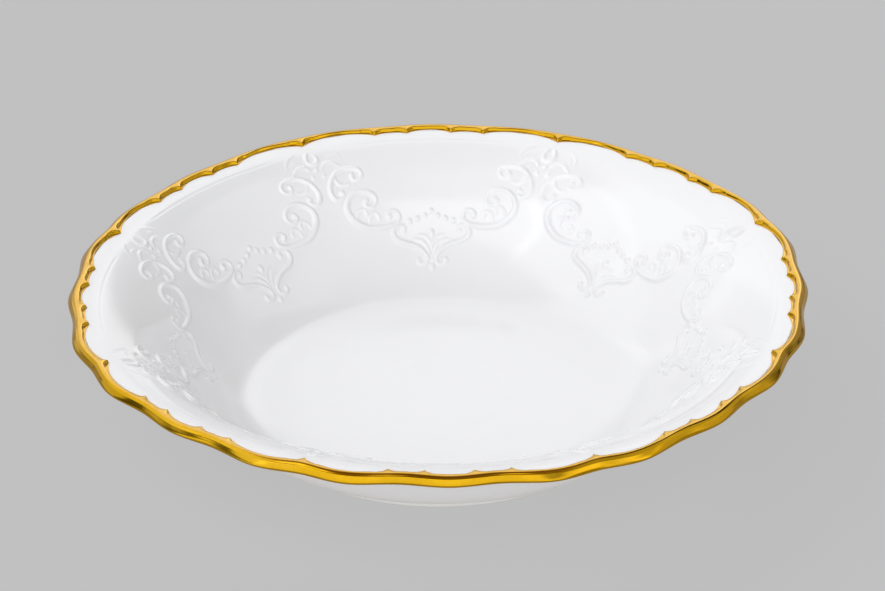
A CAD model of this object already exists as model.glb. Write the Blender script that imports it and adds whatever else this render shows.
"""Porcelain bowl with relief scrollwork, a scalloped gilded lip and a turned foot ring.

The bowl stands on z = 0 with its axis on +Z. Eight mirrored units repeat round the axis.
Angles run clockwise from +Y, seen from above. Lengths are millimetres; meshes are made in metres.
"""
import math

import bpy
import numpy as np
from mathutils import Matrix, Vector


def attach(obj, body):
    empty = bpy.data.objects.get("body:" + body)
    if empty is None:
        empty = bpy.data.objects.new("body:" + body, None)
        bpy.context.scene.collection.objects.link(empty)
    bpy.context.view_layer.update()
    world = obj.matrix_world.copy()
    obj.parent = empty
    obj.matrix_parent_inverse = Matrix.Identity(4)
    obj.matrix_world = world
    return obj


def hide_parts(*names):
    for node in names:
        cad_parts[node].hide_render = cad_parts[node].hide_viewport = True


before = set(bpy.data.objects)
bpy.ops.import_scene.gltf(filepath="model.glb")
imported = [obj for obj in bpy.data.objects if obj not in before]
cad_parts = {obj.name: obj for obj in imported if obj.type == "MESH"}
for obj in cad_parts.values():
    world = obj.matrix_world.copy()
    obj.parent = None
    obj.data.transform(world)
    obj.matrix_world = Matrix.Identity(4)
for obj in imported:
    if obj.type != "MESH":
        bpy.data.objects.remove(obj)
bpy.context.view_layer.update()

# ---------------------------------------------------------------------------
# driving dimensions
# ---------------------------------------------------------------------------
MM = 0.001
R = 110.0                      # nominal radius; the profiles are fractions of it
UNITS = 8
UNIT_ANGLE = 360.0 / UNITS     # degrees
HALF_UNIT = UNIT_ANGLE / 2
NEAR_CUSP, FAR_CUSP = 3.8, 9.4   # cusps of the gilding's inner edge, degrees from a unit's axis
RIM_Z = 42.68
FOOT_H = 2.42

# wall profiles: radius, height from RIM_Z, both as fractions of R
INNER = [(1.0150, -0.0002), (0.9900, -0.0012), (0.9650, -0.0042), (0.9400, -0.0108),
         (0.9000, -0.0270), (0.8600, -0.0510), (0.8200, -0.0830),
         (0.7800, -0.1200), (0.7400, -0.1640), (0.7000, -0.2060),
         (0.6600, -0.2430), (0.6200, -0.2755), (0.5800, -0.3000),
         (0.5400, -0.3160), (0.5000, -0.3240), (0.4500, -0.3280),
         (0.3500, -0.3295), (0.2000, -0.3300), (0.0, -0.3300)]
OUTER = [(0.5400, -0.3660), (0.5450, -0.3595), (0.5600, -0.3525), (0.5800, -0.3440),
         (0.6200, -0.3225), (0.6600, -0.2945), (0.7000, -0.2585),
         (0.7400, -0.2160), (0.7800, -0.1710), (0.8200, -0.1290),
         (0.8600, -0.0920), (0.9000, -0.0625), (0.9400, -0.0395),
         (0.9700, -0.0260), (0.9950, -0.0168), (1.0120, -0.0132)]

# the lip is a little out of round: waves per turn, cosine, sine
OUT_OF_ROUND = [(1, 0.04, 0.40), (2, 0.32, 0.80), (3, -0.08, 0.24), (4, 0.14, -0.42),
                (5, 0.20, -0.08)]

# angular stations of half a unit, with one on each cusp
HALF = np.concatenate([np.linspace(0.0, NEAR_CUSP, 21)[:-1],
                       np.linspace(NEAR_CUSP, FAR_CUSP, 31)[:-1],
                       np.linspace(FAR_CUSP, HALF_UNIT, 71)])
UNIT = np.concatenate([-HALF[:0:-1], HALF[:-1]])
PSI = np.radians(np.concatenate([UNIT + UNIT_ANGLE * k for k in range(UNITS)]))
COLUMNS = len(PSI)
FOLD = np.tile(np.abs(UNIT), UNITS)     # degrees from the nearest unit axis
SHIFT = sum(a * np.cos(n * PSI) + b * np.sin(n * PSI) for n, a, b in OUT_OF_ROUND)


# ---------------------------------------------------------------------------
# curves
# ---------------------------------------------------------------------------
def dense_spline(points, samples=60):
    """Natural cubic as a fine polyline, paced by the square root of the chord.

    Chords are measured in the first two columns; a third is carried along.
    """
    p = np.array(points, float)
    steps = np.diff(p, axis=0)
    h = np.sqrt(np.hypot(steps[:, 0], steps[:, 1]))
    h = np.diff(np.concatenate([[0.0], np.cumsum(h)]))
    m = len(p)
    a = np.zeros((m, m))
    b = np.zeros((m, p.shape[1]))
    a[0, 0] = a[-1, -1] = 1.0
    for i in range(1, m - 1):
        a[i, i - 1:i + 2] = h[i - 1], 2 * (h[i - 1] + h[i]), h[i]
        b[i] = 6 * ((p[i + 1] - p[i]) / h[i] - (p[i] - p[i - 1]) / h[i - 1])
    c = np.linalg.solve(a, b)    # second derivatives
    out = []
    for i in range(m - 1):
        x = np.linspace(0, h[i], samples, endpoint=(i == m - 2))[:, None]
        out.append(c[i] * (h[i] - x) ** 3 / (6 * h[i]) + c[i + 1] * x ** 3 / (6 * h[i])
                   + (p[i] / h[i] - c[i] * h[i] / 6) * (h[i] - x)
                   + (p[i + 1] / h[i] - c[i + 1] * h[i] / 6) * x)
    return np.concatenate(out)


def lengths(polyline):
    return np.concatenate([[0.0], np.cumsum(np.hypot(*np.diff(polyline, axis=0).T))])


def profile(table):
    return dense_spline([(r * R, RIM_Z + z * R) for r, z in table])


def smooth(x, low, high):
    t = np.clip((x - low) / (high - low), 0, 1)
    return t * t * (3 - 2 * t)


def round_unit(angles, values, stretch, samples):
    """Smooth curve through half-unit stations, mirrored in every unit, at all columns.

    stretch weighs the values against the angles in the spline's pacing.
    """
    x = np.array(angles, float)
    y = np.array(values, float)
    x = np.concatenate([-x[:0:-1], x, UNIT_ANGLE - x[-2::-1]])
    y = np.concatenate([y[:0:-1], y, y[-2::-1]])
    curve = dense_spline(np.stack([x, y * stretch], 1), samples)
    return np.interp(FOLD, curve[:, 0], curve[:, 1] / stretch)


# the inside of the wall, and the distance s down it from where the radius is 0.98 R
wall = profile(INNER)
wall_s = lengths(wall)
wall_s -= np.interp(-0.98 * R, -wall[:, 0], wall_s)


def wall_at(s):
    """Radius and height at s, and the normal (radial, upward) into the bowl."""
    def at(place):
        return [np.interp(place, wall_s, wall[:, k]) for k in (0, 1)]

    reach = 0.35
    r, z = at(s)
    r_after, z_after = at(s + reach)
    r_before, z_before = at(s - reach)
    dr, dz = r_after - r_before, z_after - z_before
    d = np.hypot(dr, dz) + 1e-12
    return r, z, dz / d, -dr / d


def wall_height(r):
    """Height of the inside of the wall, from RIM_Z."""
    return np.interp(-r, -wall[:, 0], wall[:, 1] - RIM_Z)


# ---------------------------------------------------------------------------
# relief scrollwork, drawn on the wall of half a unit
# lines: x round the bowl from the axis, s down the wall, half width
# ---------------------------------------------------------------------------
SMALL_SCROLL = [
    (26.0, 14.9, .8), (26.1, 16.0, .7), (25.1, 16.85, .62), (23.8, 16.8, .62), (22.9, 15.9, .66),
    (22.9, 14.6, .70), (24.0, 13.3, .76), (25.8, 12.55, .84), (28.0, 12.3, .92),
    (30.3, 12.75, .98), (32.1, 14.1, 1.0), (33.2, 16.1, 1.0), (33.6, 18.3, .98),
    (33.3, 20.2, .92), (32.3, 22.0, .84), (30.9, 22.9, .74), (29.4, 22.6, .66),
    (28.8, 21.5, .64), (29.7, 20.6, .74)]
SMALL_HOOK = [(32.0, 14.6, .5), (31.5, 16.2, .6), (30.5, 17.5, .62), (28.9, 18.2, .58),
              (27.2, 18.0, .5)]
LARGE_SCROLL = [
    (21.2, 24.4, .85), (21.8, 25.4, .74), (21.3, 26.4, .64), (20.2, 26.9, .62), (18.9, 26.6, .64),
    (18.1, 25.5, .68), (18.2, 24.1, .74), (19.4, 22.5, .82), (21.5, 21.5, .9),
    (24.0, 21.3, .96), (26.1, 22.1, 1.02), (27.5, 23.7, 1.06), (28.0, 25.6, 1.1),
    (27.6, 27.6, 1.12), (26.4, 29.6, 1.14), (24.7, 31.4, 1.16), (22.6, 32.9, 1.16),
    (20.0, 33.9, 1.12), (17.0, 34.3, 1.06), (14.5, 34.2, .98), (12.2, 33.6, .88),
    (10.8, 32.5, .78), (10.4, 31.0, .70), (11.0, 29.7, .64), (12.3, 29.0, .62),
    (13.6, 29.3, .66), (14.2, 30.4, .78), (13.5, 31.3, .7)]
S_SCROLL = [
    (9.2, 36.1, .8), (8.7, 35.3, .66), (9.3, 34.4, .64), (10.8, 34.2, .70), (12.1, 35.2, .82),
    (12.4, 36.7, .92), (11.6, 38.3, .98), (10.0, 39.5, 1.0), (7.6, 40.4, 1.0),
    (5.2, 41.4, .96), (3.2, 42.8, .9), (1.8, 44.4, .8), (1.3, 46.0, .7),
    (1.9, 47.2, .64), (3.2, 47.6, .64), (4.4, 47.0, .70), (4.6, 46.0, .85)]
OUTER_ARCH = [(24.5, 30.6, .5), (24.1, 28.4, .62), (22.8, 27.3, .66), (21.5, 28.0, .66),
              (21.2, 29.5, .72)]
INNER_ARCH = [(20.2, 32.4, .5), (19.9, 30.1, .6), (18.7, 29.1, .64), (17.4, 29.8, .64),
              (17.1, 31.1, .7)]
LOWER_LEAF = [(5.6, 39.1, .45), (3.6, 39.4, .6), (2.1, 40.7, .62), (1.15, 42.4, .55),
              (0.7, 44.2, .4)]
UPPER_LEAF = [(3.8, 37.7, .45), (2.3, 37.9, .6), (1.1, 38.9, .6), (0.35, 40.6, .5),
              (0.1, 42.4, .35)]
RIB = [(0.0, 38.0, .35), (0.0, 40.0, .45), (0.0, 42.0, .35)]
# line, height, depth of the groove along its wide parts
SCROLL_LINES = [(SMALL_SCROLL, .66, .20), (SMALL_HOOK, .50, 0), (LARGE_SCROLL, .70, .30),
                (S_SCROLL, .64, .15), (OUTER_ARCH, .42, 0), (INNER_ARCH, .42, 0),
                (LOWER_LEAF, .38, 0), (UPPER_LEAF, .32, 0), (RIB, .22, 0)]
# beads: x, s, half size in x, half size in s
SCROLL_BEADS = [
    (0.0, 29.6, .98, .98), (2.1, 31.1, .95, .95), (4.5, 32.1, .95, .95), (7.15, 32.8, .98, .98),
    (0.0, 37.0, .95, 1.5), (0.0, 48.75, .95, 1.25), (0.0, 45.9, .5, .7),
    (26.1, 15.3, .92, .92), (29.5, 20.75, .98, .95), (21.3, 24.9, .95, .9),
    (13.75, 30.85, .98, .95), (9.1, 35.8, .9, .85), (4.5, 46.3, .95, .95)]

# flower by the lip; x is measured from the axis halfway between two units
PETAL = [(0.2, 3.2, .45), (0.95, 3.9, .6), (1.5, 5.0, .72), (1.8, 6.3, .8), (1.55, 7.6, .84),
         (0.85, 8.4, .88), (0.0, 8.65, .9)]
SIDE_PETAL = [(5.0, 2.7, .35), (6.8, 3.4, .5), (8.3, 4.8, .55), (9.3, 6.6, .55), (9.4, 8.2, .42)]
MID_PETAL = [(5.0, 7.2, .35), (6.2, 6.4, .5), (7.5, 6.9, .52), (8.2, 8.0, .4)]
FLOWER_ARCH = [(2.1, 11.0, .5), (2.9, 9.8, .66), (4.2, 9.0, .76), (5.8, 9.1, .74),
               (7.3, 10.2, .6), (8.4, 11.4, .4)]
FLOWER_LEAF = [(0.5, 15.6, .35), (1.3, 13.9, .5), (2.4, 12.4, .5), (3.7, 11.9, .35)]
FLOWER_LINES = [(PETAL, .50, 0), (SIDE_PETAL, .22, 0), (MID_PETAL, .22, 0),
                (FLOWER_ARCH, .44, 0), (FLOWER_LEAF, .15, 0)]
FLOWER_BEADS = [(0.0, 11.0, .75, .75), (1.9, 13.7, .82, .82)]


def ridge(x, s, line, height, groove):
    """Rounded ridge along a line, by the distance to its nearest point."""
    nearest = np.full(x.shape, 1e9)
    width = np.ones(x.shape)
    for line_x, line_s, line_width in dense_spline(line, 14):
        d = np.hypot(x - line_x, s - line_s)
        closer = d < nearest
        nearest[closer] = d[closer]
        width[closer] = line_width
    q = nearest / width
    h = height * np.clip(1.0 - q ** 2, 0.0, 1.0) ** 1.25 * np.clip(width / 0.8, 0.6, 1.15)
    h -= groove * 0.55 * height * np.exp(-(q / 0.33) ** 2) * smooth(width, 0.8, 1.05)
    return h


def relief_half(s_rows):
    """Height of the relief on half a unit: rows by s, columns by HALF."""
    s = s_rows[:, None] + 0 * HALF[None, :]
    r = wall_at(s_rows)[0][:, None]
    h = np.zeros_like(s)
    for angles, lines, beads, bead_height in (
            (HALF, SCROLL_LINES, SCROLL_BEADS, 0.62),
            (HALF_UNIT - HALF, FLOWER_LINES, FLOWER_BEADS, 0.52)):
        x = r * np.radians(angles)[None, :]
        for line, height, groove in lines:
            h = np.maximum(h, ridge(x, s, line, height, groove))
        for bead_x, bead_s, a, b in beads:
            q = np.hypot((x - bead_x) / a, (s - bead_s) / b)
            h = np.maximum(h, bead_height * min(a, 1.0) * np.clip(1 - q ** 2, 0, 1) ** 0.7)
    return h


def blur(h, axis):
    """Three-sample Gaussian blur along one axis."""
    weights = np.exp(-0.5 * (np.arange(-1, 2) / 0.5) ** 2)
    weights /= weights.sum()
    pad = [(0, 0), (0, 0)]
    pad[axis] = (1, 1)
    padded = np.pad(h, pad, mode="reflect")
    count = h.shape[axis]
    return sum(w * np.take(padded, np.arange(i, i + count), axis)
               for i, w in enumerate(weights))


# ---------------------------------------------------------------------------
# grid meshes turned about the axis
# ---------------------------------------------------------------------------
def stitch(fine, coarse, count):
    """Triangles from a row of 2 * count points to one of count; arguments are first indices."""
    k = np.arange(count)
    f0, f1, f2 = fine + 2 * k, fine + 2 * k + 1, fine + (2 * k + 2) % (2 * count)
    c, d = coarse + k, coarse + (k + 1) % count
    return [np.stack(t, 1) for t in ((f0, f1, c), (f1, d, c), (f1, f2, d))]


class Grid:
    """Rows of points round the axis; neighbouring rows may halve or double their columns."""

    def __init__(self):
        self.rows = []
        self.relief = []

    def add(self, r, z, step=1, relief=0.0):
        """Add a row using every step-th column; r, z and relief are numbers or per column."""
        r, z, relief = (np.broadcast_to(v, (COLUMNS,))[::step] for v in (r, z, relief))
        angle = PSI[::step]
        self.rows.append(np.stack([r * np.sin(angle), r * np.cos(angle), z], 1))
        self.relief.append(relief)

    def build(self, name, closed=False, caps=()):
        """Make the object; caps are the centre heights that close the first and last rows."""
        counts = [len(row) for row in self.rows]
        starts = np.concatenate([[0], np.cumsum(counts)])
        last = len(counts) - 1
        verts = np.concatenate(self.rows)
        relief = np.concatenate(self.relief)
        quads = []
        tris = [np.zeros((0, 3), int)]
        pairs = [(i, i + 1) for i in range(last)]
        if closed:
            pairs.append((last, 0))
        for i, j in pairs:
            if counts[i] == counts[j]:
                a = np.arange(counts[i])
                b = (a + 1) % counts[i]
                quads.append(np.stack([starts[i] + a, starts[i] + b,
                                       starts[j] + b, starts[j] + a], 1))
            elif counts[i] == 2 * counts[j]:
                tris += stitch(starts[i], starts[j], counts[j])
            else:
                tris += [t[:, ::-1] for t in stitch(starts[j], starts[i], counts[i])]
        for k, z in zip((0, last), caps):
            verts = np.concatenate([verts, [[0, 0, z]]])
            relief = np.concatenate([relief, [0.0]])
            a = np.arange(counts[k])
            b = (a + 1) % counts[k]
            first, second = (b, a) if k == 0 else (a, b)
            tris.append(np.stack([starts[k] + first, starts[k] + second,
                                  np.full(counts[k], len(verts) - 1)], 1))
        quads = np.concatenate(quads)
        tris = np.concatenate(tris)

        mesh = bpy.data.meshes.new(name)
        mesh.vertices.add(len(verts))
        mesh.vertices.foreach_set("co", (verts * MM).astype(np.float32).ravel())
        loops = np.concatenate([quads.ravel(), tris.ravel()]).astype(np.int32)
        mesh.loops.add(len(loops))
        mesh.loops.foreach_set("vertex_index", loops)
        faces = len(quads) + len(tris)
        mesh.polygons.add(faces)
        mesh.polygons.foreach_set("loop_start", np.concatenate(
            [np.arange(len(quads)) * 4, 4 * len(quads) + np.arange(len(tris)) * 3]
        ).astype(np.int32))
        mesh.polygons.foreach_set("use_smooth", np.ones(faces, bool))
        mesh.update(calc_edges=True)
        mesh.validate()
        attribute = mesh.attributes.new("relief", "FLOAT", "POINT")
        attribute.data.foreach_set("value", relief.astype(np.float32))
        # faces must point outward: the signed volume has to be positive
        volume = 0.0
        for t in (quads[:, [0, 1, 2]], quads[:, [0, 2, 3]], tris):
            corner = verts[t]
            volume += np.einsum("ij,ij->i", corner[:, 0],
                                np.cross(corner[:, 1], corner[:, 2])).sum()
        if volume < 0:
            mesh.flip_normals()
        ob = bpy.data.objects.new(name, mesh)
        bpy.context.scene.collection.objects.link(ob)
        return ob


# ---------------------------------------------------------------------------
# the porcelain body
# ---------------------------------------------------------------------------
RELIEF_START, RELIEF_END, RELIEF_STEP = 0.6, 52.0, 0.36    # rows along s
LIP_START, LIP_END, LIP_STEP = 0.2, -3.55, -0.45           # rows along s, out over the lip
FLOOR_RADII = np.concatenate([[3.0, 6.0, 9.0], np.arange(12.0, 30.0, 0.75),
                              np.arange(30.0, 50.0, 2.0), np.arange(50.0, 64.0, 0.9)])
# faint rings on the floor: height, radius, half width
FLOOR_RINGS = [(0.045, 23.2, 1.1), (-0.03, 20.6, 1.6), (0.02, 56.5, 1.5)]
# underside within the foot: radius, height above FOOT_H
UNDERSIDE = [(58.0, 0.0), (56.0, 0.0), (54.0, 0.0), (52.0, 0.03), (51.0, 0.07), (48.0, 0.14),
             (42.0, 0.22), (34.0, 0.28), (24.0, 0.32), (12.0, 0.345)]
UNDERSIDE_RISE = 0.35          # at the centre


def full_relief(s_rows):
    """Relief at every column, its height varying slightly from unit to unit."""
    half = blur(blur(relief_half(s_rows), 0), 1)
    unit = np.concatenate([half[:, :0:-1], half[:, :-1]], 1)
    full = np.concatenate([unit * (1.0 + 0.06 * math.sin(2.1 * k + 0.4))
                           for k in range(UNITS)], 1)
    # a soft parting line where the flared lip turns into the wall
    crease = -0.085 * np.exp(-((s_rows[:, None] - 3.35) / 0.32) ** 2)
    return full + crease * (1 - smooth(FOLD, 13, 17))[None, :]


def build_body():
    body = Grid()

    # floor, from the centre outward
    for radius in FLOOR_RADII:
        s = float(np.interp(-radius, -wall[:, 0], wall_s))
        if s < RELIEF_END + 0.6:
            break
        r, z, normal_r, normal_z = wall_at(s)
        h = sum(a * np.exp(-((radius - ring) / w) ** 2) for a, ring, w in FLOOR_RINGS)
        step = 8 if radius < 11 else (4 if radius < 48 else 2)
        body.add(r + normal_r * h, z + normal_z * h, step)

    # inside wall with the relief, upward, then the plain top of the lip
    s_rows = np.arange(RELIEF_START, RELIEF_END, RELIEF_STEP)
    for s, h in zip(s_rows[::-1], full_relief(s_rows)[::-1]):
        r, z, normal_r, normal_z = wall_at(s)
        body.add(r + normal_r * h + SHIFT * (1.0 - smooth(s, 1.0, 16.0)), z + normal_z * h,
                 relief=h)
    for s in np.arange(LIP_START, LIP_END, LIP_STEP):
        r, z = wall_at(s)[:2]
        body.add(r + SHIFT, z)

    # lip edge, then the outside wall downward
    outer = profile(OUTER)[::-1]
    outer_s = lengths(outer)
    end = outer_s[-1]
    body.add(outer[0, 0] + 0.15 + SHIFT, (outer[0, 1] + RIM_Z) / 2)
    for s in np.concatenate([np.arange(0.0, 9.0, 0.8), np.arange(9.0, end - 5, 1.5),
                             np.linspace(end - 4.5, end, 10)]):
        r, z = (float(np.interp(s, outer_s, outer[:, k])) for k in (0, 1))
        step = 1 if s < 1.2 else (2 if s < 7 else 4)
        body.add(r + SHIFT * (1.0 - smooth(s, 2.0, 22.0)), z, step)

    for r, rise in UNDERSIDE:
        body.add(r, FOOT_H + rise, step=4 if r > 30 else 8)
    return body.build("Porcelain_Body", caps=(float(wall[-1, 1]), FOOT_H + UNDERSIDE_RISE))


# ---------------------------------------------------------------------------
# the moulded and gilded lip
# ---------------------------------------------------------------------------
# outer edge: degrees from a unit's axis, radius as a fraction of R
EDGE = [(0.0, 1.0415), (3.5, 1.0362), (7.0, 1.0308), (10.5, 1.0376),
        (14.0, 1.0480), (16.5, 1.0487), (19.5, 1.0430), (22.5, 1.0385)]
# arcs of the inner edge: start and end in degrees, start and end radius and
# outward bulge as fractions of R, height of the ledge's swelling in mm
ARCS = [(-NEAR_CUSP, NEAR_CUSP, 0.9860, 0.9860, 0.0165, 0.90),
        (NEAR_CUSP, FAR_CUSP, 0.9860, 0.9860, 0.0080, 0.70),
        (FAR_CUSP, HALF_UNIT, 0.9860, 0.9865, 0.0275, 1.30)]
# degrees from a unit's axis, crest radius and z, ridge radius and z, skirt z; z from RIM_Z
MOULDING = [(0.0, 112.00, 0.98, 113.40, 0.34, -1.15),
            (4.0, 111.45, 1.12, 112.95, 0.42, -1.15),
            (7.2, 111.35, 1.14, 112.55, 0.48, -1.15),
            (11.0, 112.10, 0.96, 113.20, 0.34, -1.20),
            (16.0, 112.75, 0.84, 114.15, 0.15, -1.42),
            (19.5, 112.50, 1.02, 113.85, 0.26, -1.35),
            (22.5, 112.00, 1.20, 113.25, 0.42, -1.25)]
# rows between each pair of neighbouring section points
SECTION_ROWS = [1, 2, 2, 2, 3, 2, 3, 3, 3, 2, 3, 3, 3, 3, 3, 2, 2, 2, 2, 2, 2, 2, 2, 1]


def inner_edge():
    """Radius of the gilding's inner edge, arc length from the nearest cusp, ledge swelling.

    The peak is listed per arc; later arcs do not take over its value at a shared cusp.
    """
    radius, from_cusp = np.zeros_like(FOLD), np.zeros_like(FOLD)
    for start, end, r_start, r_end, bulge, _ in ARCS:
        inside = (FOLD >= start - 1e-9) & (FOLD <= end + 1e-9)
        t = (FOLD[inside] - start) / (end - start)
        radius[inside] = R * (r_start + (r_end - r_start) * t + bulge * (1 - (2 * t - 1) ** 2))
        from_cusp[inside] = np.minimum(t, 1 - t) * (end - start) * math.pi / 180 * R
    near, middle, far = (arc[-1] for arc in ARCS)
    peak = np.where(FOLD > FAR_CUSP, far, np.where(FOLD > NEAR_CUSP, middle, near))
    return radius, from_cusp, peak


def lip_section():
    """Closed section of the lip at every column: (radius, height from RIM_Z) in order."""
    edge_r, from_cusp, peak = inner_edge()
    ripple = 0.05 * np.sin(11 * PSI + 1.3) + 0.04 * np.sin(37 * PSI + 0.2) + 0.03 * np.sin(71 * PSI)
    edge_r = edge_r + 0.6 * ripple
    edge_z = wall_height(edge_r)
    out_r = round_unit(*zip(*EDGE), stretch=100.0, samples=40) * R
    angles, *columns = zip(*MOULDING)
    crest_r, crest_z, ridge_r, ridge_z, skirt_z = (
        round_unit(angles, values, stretch=4.0, samples=30) for values in columns)

    # a low ledge runs inside the riser, and fades at the cusps
    ledge = ((0.30 + (peak - 0.30) * np.exp(-((from_cusp - 2.2) / 2.1) ** 2))
             * (1 - np.exp(-from_cusp / 0.50)) + 0.06)
    ledge = np.minimum(ledge, 0.55 * (crest_r - edge_r - 0.5))
    cut = np.exp(-((from_cusp - 1.6) / 2.6) ** 2) * (1 - np.exp(-from_cusp / 0.5))
    ledge_mid_z = wall_height(edge_r + 0.5 * ledge)
    foot_r = edge_r + ledge                            # foot of the riser
    foot_z = wall_height(foot_r)
    gap = crest_r - foot_r
    top_r = foot_r + np.minimum(0.46, 0.55 * gap)      # top of the riser
    top_z = np.minimum(crest_z - 0.05 * np.clip(gap, 0, 4) - 0.06, foot_z + 1.05)

    section = [
        # inner edge, from below
        (edge_r + 0.40, edge_z - 0.60),
        (edge_r + 0.05, edge_z - 0.20),
        (edge_r - 0.01, edge_z + 0.02),
        (edge_r + 0.07, edge_z + 0.095),
        # ledge and riser
        (edge_r + 0.5 * ledge + 0.03, ledge_mid_z + 0.115),
        (foot_r - 0.05, foot_z + 0.10 - 0.05 * cut),
        (foot_r + 0.07, foot_z + 0.19 - 0.03 * cut),
        (foot_r + 0.55 * (top_r - foot_r), foot_z + 0.58 * (top_z - foot_z) + 0.02),
        (top_r - 0.05, top_z - 0.06),
        # crest
        (top_r + 0.22 * (crest_r - top_r) + 0.05, top_z + 0.42 * (crest_z - top_z)),
        (crest_r - 0.25 * (crest_r - top_r), crest_z - 0.05 * (crest_z - top_z)),
        (crest_r + 0.10, crest_z - 0.01),
        # ridge
        (crest_r + 0.5 * (ridge_r - crest_r), crest_z - 0.26 * (crest_z - ridge_z)),
        (ridge_r - 0.14, ridge_z + 0.085),
        (ridge_r + 0.05, ridge_z - 0.07),
        # skirt down to the outer edge
        (0.62 * ridge_r + 0.38 * out_r, 0.62 * ridge_z + 0.38 * skirt_z + 0.02),
        (0.25 * ridge_r + 0.75 * out_r, 0.25 * ridge_z + 0.75 * skirt_z + 0.04),
        (out_r - 0.06, skirt_z),
        (out_r, skirt_z - 0.28),
        (out_r - 0.10, skirt_z - 0.58),
        # back underneath
        (out_r - 0.40, skirt_z - 0.86),
        (out_r - 1.00, skirt_z - 1.02),
        (out_r - 1.90, skirt_z - 0.98),
        (out_r - 2.80, 0.6 * skirt_z - 1.25),
        (out_r - 3.60, -1.50 + 0 * out_r)]
    return [np.stack([r + SHIFT, z]) for r, z in section]


def centripetal(p, k, t):
    """Centripetal spline between section points k and k + 1, column by column."""
    q = [p[min(max(k + j, 0), len(p) - 1)] for j in (-1, 0, 1, 2)]
    d = [np.sqrt(np.maximum(np.hypot(*(q[j + 1] - q[j])), 1e-6)) for j in range(3)]
    if k == 0:
        d[0], q[0] = d[1], 2 * q[1] - q[2]
    if k == len(p) - 2:
        d[2], q[3] = d[1], 2 * q[2] - q[1]
    m1 = (q[1] - q[0]) / d[0] - (q[2] - q[0]) / (d[0] + d[1]) + (q[2] - q[1]) / d[1]
    m2 = (q[2] - q[1]) / d[1] - (q[3] - q[1]) / (d[1] + d[2]) + (q[3] - q[2]) / d[2]
    m1, m2 = m1 * d[1], m2 * d[1]
    return ((2 * t ** 3 - 3 * t * t + 1) * q[1] + (t ** 3 - 2 * t * t + t) * m1
            + (-2 * t ** 3 + 3 * t * t) * q[2] + (t ** 3 - t * t) * m2)


def build_lip():
    lip = Grid()
    section = lip_section()
    for k, count in enumerate(SECTION_ROWS):
        for i in range(count):
            r, z = centripetal(section, k, i / count)
            lip.add(r, RIM_Z + z)
    r, z = section[-1]
    lip.add(r, RIM_Z + z)
    return lip.build("Gold_Rim_Band", closed=True)


# ---------------------------------------------------------------------------
# the turned foot: radius, height, down the outside and up the inside
# ---------------------------------------------------------------------------
FOOT = [(56.2, FOOT_H), (59.1, FOOT_H), (59.36, 2.30), (59.42, 2.10), (59.30, 1.75),
        (58.98, 1.25), (58.62, 0.80), (58.42, 0.52), (58.28, 0.28), (58.08, 0.11),
        (57.82, 0.02), (57.60, 0.0), (57.0, 0.0), (56.2, 0.0), (55.4, 0.0), (54.8, 0.0),
        (54.56, 0.02), (54.32, 0.12), (54.14, 0.30), (54.02, 0.55), (53.80, 0.95),
        (53.52, 1.40), (53.30, 1.85), (53.10, 2.2), (52.98, FOOT_H)]


def build_foot():
    foot = Grid()
    for r, z in FOOT:
        wave = 0.015 * np.sin(3 * PSI + r) + 0.01 * np.sin(17 * PSI + 2 * r)
        foot.add(r + wave if 0 < z < 2.3 else r, z, step=4)
    return foot.build("Foot_Ring", closed=True)


# ---------------------------------------------------------------------------
# materials
# ---------------------------------------------------------------------------
class Nodes:
    """A node tree and short ways to fill it; values may be sockets, numbers or RGB tuples."""

    def __init__(self, tree):
        self.tree = tree
        tree.nodes.clear()

    def fill(self, node, inputs):
        for key, value in inputs.items():
            socket = node.inputs[key]
            if isinstance(value, bpy.types.NodeSocket):
                self.tree.links.new(value, socket)
            else:
                socket.default_value = (*value, 1) if isinstance(value, tuple) else value

    def add(self, kind, inputs=None, **settings):
        node = self.tree.nodes.new("ShaderNode" + kind)
        for name, value in settings.items():
            setattr(node, name, value)
        self.fill(node, inputs or {})
        return node

    def noise(self, scale, detail=3.0, roughness=0.5):
        return self.add("TexNoise", {"Scale": scale, "Detail": detail, "Roughness": roughness,
                                     "Vector": self.position}).outputs["Fac"]

    def ramp(self, fac, *stops):
        node = self.add("ValToRGB", {0: fac})
        elements = node.color_ramp.elements
        while len(elements) > 1:
            elements.remove(elements[0])
        elements[0].position = stops[0][0]
        elements[0].color = (*stops[0][1], 1)
        for position, color in stops[1:]:
            elements.new(position).color = (*color, 1)
        return node.outputs[0]

    def remap(self, value, source=(0.0, 1.0), to=(0.0, 1.0), **settings):
        return self.add("MapRange", {"Value": value, "From Min": source[0],
                                     "From Max": source[1], "To Min": to[0],
                                     "To Max": to[1]}, **settings).outputs[0]

    def mix(self, fac, a, b):
        return self.add("Mix", {0: fac, 6: a, 7: b}, data_type="RGBA").outputs[2]

    def bump(self, height, strength, distance):
        return self.add("Bump", {"Height": height, "Strength": strength,
                                 "Distance": distance}).outputs[0]

    def math(self, operation, *values):
        return self.add("Math", dict(enumerate(values)), operation=operation).outputs[0]

    def z_of(self, vector):
        return self.add("SeparateXYZ", {0: vector}).outputs["Z"]


def new_material(name):
    """Material with one Principled surface; its textures are laid in object space."""
    material = bpy.data.materials.new(name)
    material.use_nodes = True
    nodes = Nodes(material.node_tree)
    output = nodes.add("OutputMaterial")
    surface = nodes.add("BsdfPrincipled")
    nodes.fill(output, {0: surface.outputs[0]})
    place = nodes.add("TexCoord").outputs["Object"]
    nodes.position = nodes.add("Mapping", {"Vector": place}).outputs[0]
    return material, nodes, surface


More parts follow.
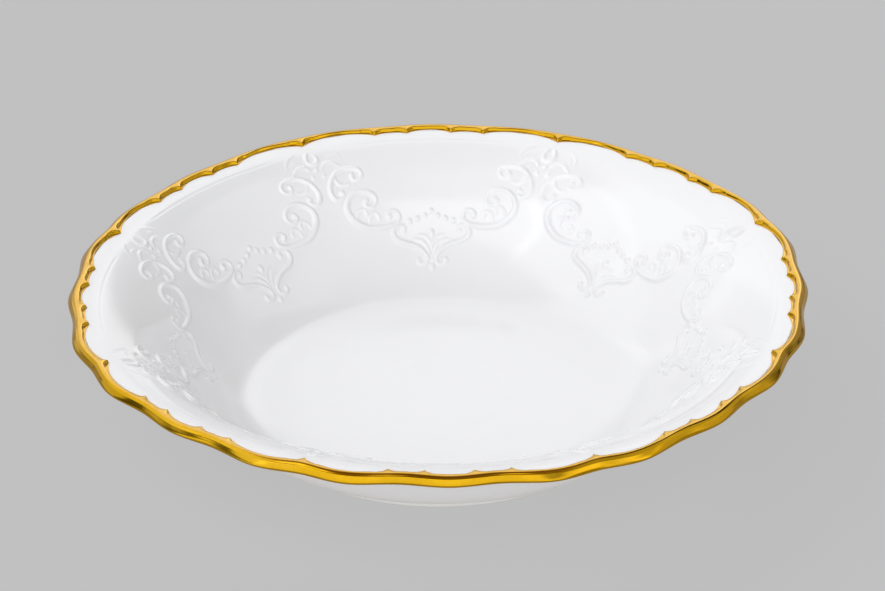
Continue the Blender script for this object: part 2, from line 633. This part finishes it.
def glazed_porcelain():
    """Bright cool white under a clear glaze, with rare brown specks."""
    material, nodes, surface = new_material("Glazed_Porcelain")
    white = nodes.ramp(nodes.noise(scale=9.0),
                       (0.30, (0.862, 0.862, 0.874)), (0.70, (0.882, 0.883, 0.900)))
    mottle = nodes.remap(nodes.noise(scale=60.0, detail=2.0), source=(0.45, 0.75), to=(0.0, 0.25))
    white = nodes.mix(mottle, white, (0.850, 0.849, 0.856))
    cells = nodes.add("TexVoronoi", {"Scale": 85.0, "Vector": nodes.position})
    dots = nodes.math("LESS_THAN", cells.outputs["Distance"], 0.022)       # dot size
    kept = nodes.math("GREATER_THAN", nodes.noise(scale=31.0, detail=0.0), 0.66)   # rarity
    specks = nodes.math("MULTIPLY", dots, kept)
    peel = nodes.bump(nodes.noise(scale=140.0, detail=2.0), strength=0.10, distance=0.06 * MM)
    nodes.fill(surface, {
        "Base Color": nodes.mix(specks, white, (0.30, 0.25, 0.19)),
        "Roughness": 0.38,
        "Specular IOR Level": 0.25,
        "Coat Weight": 1.0,
        "Coat IOR": 1.5,
        "Coat Roughness": nodes.remap(nodes.noise(scale=25.0), to=(0.012, 0.045)),
        "Normal": peel,
        "Coat Normal": peel})
    return material


def foot_porcelain():
    """Glazed foot with a bare fired sole."""
    material, nodes, surface = new_material("Foot_Porcelain")
    # 1 on the sole, 0 above
    bare = nodes.remap(nodes.z_of(nodes.position), source=(0.22 * MM, 0.48 * MM), to=(1.0, 0.0))
    glaze = nodes.ramp(nodes.noise(scale=12.0),
                       (0.3, (0.855, 0.852, 0.842)), (0.7, (0.88, 0.878, 0.872)))
    biscuit = nodes.ramp(nodes.noise(scale=420.0, detail=4.0),
                         (0.3, (0.66, 0.63, 0.57)), (0.7, (0.78, 0.755, 0.70)))
    nodes.fill(surface, {
        "Base Color": nodes.mix(bare, glaze, biscuit),
        "Roughness": nodes.remap(bare, to=(0.35, 0.85)),
        "Coat Weight": nodes.remap(bare, to=(1.0, 0.0)),
        "Coat Roughness": 0.03,
        "Normal": nodes.bump(nodes.noise(scale=900.0, detail=4.0),
                             strength=0.25, distance=0.1 * MM)})
    return material


def rim_gold():
    """Burnished gilding with satin patches and fine mottling, paler where it faces up."""
    material, nodes, surface = new_material("Rim_Gold")
    patches = nodes.noise(scale=55.0, detail=4.0, roughness=0.6)
    grain = nodes.noise(scale=420.0, roughness=0.6)
    normal = nodes.add("NewGeometry").outputs["Normal"]
    facing_up = nodes.remap(nodes.z_of(normal), source=(0.86, 0.99))
    deep = nodes.ramp(patches, (0.30, (0.50, 0.278, 0.006)), (0.55, (0.53, 0.305, 0.009)),
                      (0.75, (0.57, 0.335, 0.018)))
    pale = nodes.ramp(patches, (0.30, (0.60, 0.350, 0.050)), (0.70, (0.66, 0.400, 0.085)))
    mottle = nodes.remap(grain, source=(0.5, 0.72), to=(0.0, 0.25))
    nodes.fill(surface, {
        "Base Color": nodes.mix(mottle, nodes.mix(facing_up, deep, pale), (0.45, 0.218, 0.008)),
        "Metallic": 1.0,
        "Roughness": nodes.remap(patches, source=(0.3, 0.7), to=(0.10, 0.22)),
        "Normal": nodes.bump(grain, strength=0.16, distance=0.12 * MM)})
    return material


def table_grey():
    """Matt grey that also glows: warmer in reflections, stronger as bounce light."""
    material, nodes, surface = new_material("Table_Grey")
    rays = nodes.add("LightPath").outputs
    nodes.fill(surface, {
        "Base Color": nodes.ramp(nodes.noise(scale=3.0, detail=4.0),
                                 (0.3, (0.108, 0.108, 0.108)), (0.7, (0.114, 0.114, 0.114))),
        "Roughness": 1.0,
        "Specular IOR Level": 0.0,
        "Emission Color": nodes.mix(rays["Is Glossy Ray"], (1.0, 1.0, 1.0), (1.0, 0.94, 0.88)),
        "Emission Strength": nodes.remap(rays["Is Diffuse Ray"], to=(0.43, 0.58))})
    return material


# ---------------------------------------------------------------------------
# stage: table, surroundings, camera
# ---------------------------------------------------------------------------
TABLE_RADIUS, TABLE_SIDES = 6.0, 96        # metres
TURN = Matrix.Rotation(math.radians(-1.80), 3, "Z")   # turns the camera and lights together
TO_CAMERA = TURN @ Vector((0, -1, 0))
CAMERA_RIGHT = TURN @ Vector((1, 0, 0))

# soft panels of light, degrees: azimuth from the camera's side (positive to its right),
# half width, lowest and highest elevation; then the strength
PANELS = [(-15, 42, 16, 38, 1.55), (-15, 42, 38, 62, 1.74), (50, 24, 14, 40, 1.22),
          (50, 24, 40, 62, 0.62), (100, 26, 3, 30, 0.10), (100, 26, 30, 62, 0.82),
          (150, 24, 3, 40, 0.52), (190, 28, 2, 22, 0.92), (190, 28, 22, 42, 1.44),
          (190, 28, 42, 62, 1.26), (240, 24, 2, 30, 1.02), (240, 24, 30, 62, 1.45),
          (285, 24, 2, 30, 0.15), (285, 24, 30, 62, 1.40), (-15, 60, 0, 16, 1.50),
          (0, 90, 62, 78, 0.30), (180, 90, 62, 78, 0.30), (0, 400, 78, 120, 0.19)]
PANEL_SOFT = 4.0
# the next two show only in reflections
SIDE_CARD = (82, 34, 2, 36, 0.75)
SIDE_TINT = (100, 62, -20, 66, 1.0)

CAMERA_DISTANCE = 13.415 * R
CAMERA_TILT = math.radians(28.74)          # looking down
CAMERA_ROLL = math.radians(0.10)
CAMERA_TARGET = Vector((0.0109 * R, 0, -0.0137 * R + RIM_Z))
LENS, SENSOR = 194.225085, 36.0


def build_table(material):
    mesh = bpy.data.meshes.new("Table")
    angles = [2.0 * math.pi * i / TABLE_SIDES for i in range(TABLE_SIDES)]
    mesh.from_pydata([(TABLE_RADIUS * math.cos(a), TABLE_RADIUS * math.sin(a), 0.0)
                      for a in angles], [], [list(range(TABLE_SIDES))])
    table = bpy.data.objects.new("Table", mesh)
    bpy.context.scene.collection.objects.link(table)
    table.data.materials.append(material)


def build_world():
    world = bpy.data.worlds.new("Studio")
    bpy.context.scene.world = world
    world.use_nodes = True
    nodes = Nodes(world.node_tree)
    calc = nodes.math
    output = nodes.add("OutputWorld")
    background = nodes.add("Background")
    nodes.fill(output, {0: background.outputs[0]})

    view = nodes.add("VectorMath", {0: nodes.add("TexCoord").outputs["Generated"]},
                     operation="NORMALIZE").outputs[0]
    toward, aside, upward = (
        nodes.add("VectorMath", {0: view, 1: axis}, operation="DOT_PRODUCT").outputs["Value"]
        for axis in (TO_CAMERA, CAMERA_RIGHT, Vector((0, 0, 1))))
    degrees = 180.0 / math.pi
    elevation = calc("MULTIPLY", calc("ARCSINE", upward), degrees)
    level_part = calc("SUBTRACT", 1.0, calc("MULTIPLY", upward, upward))
    level_part = calc("SQRT", calc("MAXIMUM", level_part, 1e-6))

    def window(value, low, high, soft):
        """1 between low and high, with soft edges."""
        rise, fall = (nodes.remap(value, source=ends, interpolation_type="SMOOTHSTEP")
                      for ends in ((low - soft, low + soft), (high + soft, high - soft)))
        return calc("MULTIPLY", rise, fall)

    def panel(azimuth, half_width, lowest, highest, strength, soft):
        angle = math.radians(azimuth)
        c = calc("ADD", calc("MULTIPLY", toward, math.cos(angle)),
                 calc("MULTIPLY", aside, math.sin(angle)))
        c = calc("DIVIDE", c, level_part)
        c = calc("MINIMUM", calc("MAXIMUM", c, -1.0), 1.0)
        away = calc("MULTIPLY", calc("ARCCOSINE", c), degrees)
        mask = calc("MULTIPLY", window(away, -999.0, half_width, soft),
                    window(elevation, lowest, highest, soft))
        return calc("MULTIPLY", mask, strength)

    strength = 0.0
    for entry in PANELS:
        strength = calc("ADD", strength, panel(*entry, soft=PANEL_SOFT))
    glossy = nodes.add("LightPath").outputs["Is Glossy Ray"]
    card = calc("MULTIPLY", panel(*SIDE_CARD, soft=8.0), glossy)
    # reflections turn warmer at the side and amber overhead
    overhead = calc("MULTIPLY", window(elevation, low=62, high=120, soft=6.0), glossy)
    side = calc("MULTIPLY", panel(*SIDE_TINT, soft=14.0), glossy)
    sky = nodes.mix(side, (0.990, 0.993, 1.0), (1.0, 0.965, 0.92))
    nodes.fill(background, {"Strength": calc("ADD", strength, card),
                            "Color": nodes.mix(overhead, sky, (1.0, 0.62, 0.36))})


def build_camera():
    """Long lens, looking down at the bowl from the -Y side."""
    scene = bpy.context.scene
    back = Vector((0, -math.cos(CAMERA_TILT), math.sin(CAMERA_TILT)))
    right = Vector((1, 0, 0))
    up = right.cross(-back)
    rolled_right = math.cos(CAMERA_ROLL) * right + math.sin(CAMERA_ROLL) * up
    rolled_up = -math.sin(CAMERA_ROLL) * right + math.cos(CAMERA_ROLL) * up
    eye = CAMERA_TARGET + CAMERA_DISTANCE * back
    data = bpy.data.cameras.new("Camera")
    data.sensor_width = SENSOR
    data.sensor_fit = "HORIZONTAL"
    data.lens = LENS
    data.clip_start = 0.05
    data.clip_end = 30.0
    camera = bpy.data.objects.new("Camera", data)
    axes = (TURN @ rolled_right, TURN @ rolled_up, TURN @ back)
    pose = Matrix(axes).transposed().to_4x4()
    pose.translation = (TURN @ eye) * MM
    camera.matrix_world = pose
    scene.collection.objects.link(camera)
    scene.camera = camera


porcelain = build_body()
gold = build_lip()
foot_ring = build_foot()

porcelain_material = glazed_porcelain()
foot_material = foot_porcelain()
gold_material = rim_gold()
table_material = table_grey()

for ob, material, piece, slot_name in (
        (porcelain, porcelain_material, "porcelain_body", "glazed_porcelain"),
        (gold, gold_material, "gold_rim_band", "rim_gold"),
        (foot_ring, foot_material, "foot_ring", "foot_porcelain")):
    ob.data.materials.append(material)
    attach(ob, "root")
    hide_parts(piece)

build_table(table_material)
build_world()
view_settings = bpy.context.scene.view_settings
view_settings.view_transform = "Standard"
view_settings.look = "None"
view_settings.exposure = 0.0
build_camera()
